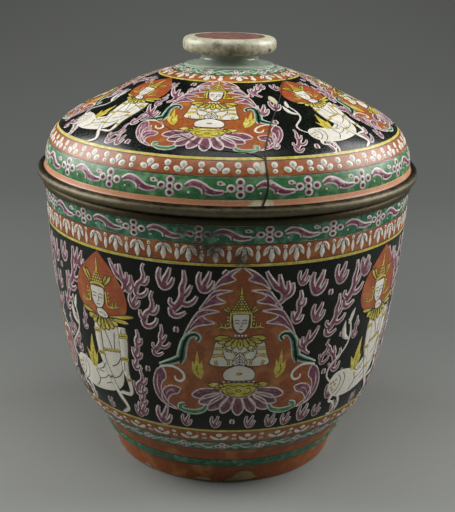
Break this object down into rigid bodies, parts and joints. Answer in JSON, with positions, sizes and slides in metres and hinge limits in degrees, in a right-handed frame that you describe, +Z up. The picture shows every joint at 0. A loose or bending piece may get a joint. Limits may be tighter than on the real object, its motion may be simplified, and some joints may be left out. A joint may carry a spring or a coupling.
{
  "type": "lidded porcelain jar",
  "caption": "Round covered porcelain jar on a foot ring, with enamelled bands of figures, metal-bound mouth and lid edge, and a domed lid with a button knob that lifts off.",
  "frame": {"origin": "centre of the underside of the foot ring, on the surface that the jar stands on", "axes": "+Z up along the axis of jar and lid; -Y is the side that the picture shows"},
  "size_m": [0.223, 0.223, 0.2505],
  "materials": {
    "jar_porcelain": "glossy overglaze enamels on white-glazed porcelain, black ground with orange, green, magenta, yellow and white",
    "mouth_metal": "darkened copper alloy, rubbed along the top",
    "lid_porcelain": "glossy overglaze enamels on white-glazed porcelain, black ground with orange, green, magenta, yellow and white",
    "collar_porcelain": "clear-glazed white porcelain with a bare edge",
    "edge_metal": "darkened copper alloy with a rubbed bright line along its crown",
    "knob_porcelain": "greenish celadon glaze with a worn red enamel disc on top"
  },
  "bodies": {
    "jar": {"jar_body": "jar_porcelain", "jar_mouth_binding": "mouth_metal"},
    "lid": {"lid_shell": "lid_porcelain", "lid_collar": "collar_porcelain", "lid_edge_binding": "edge_metal", "lid_knob": "knob_porcelain"}
  },
  "joints": [
    {"name": "lid_lift", "type": "slide", "parent": "jar", "child": "lid", "axis": [0, 0, 1], "range_m": [0, 0.15]}
  ]
}
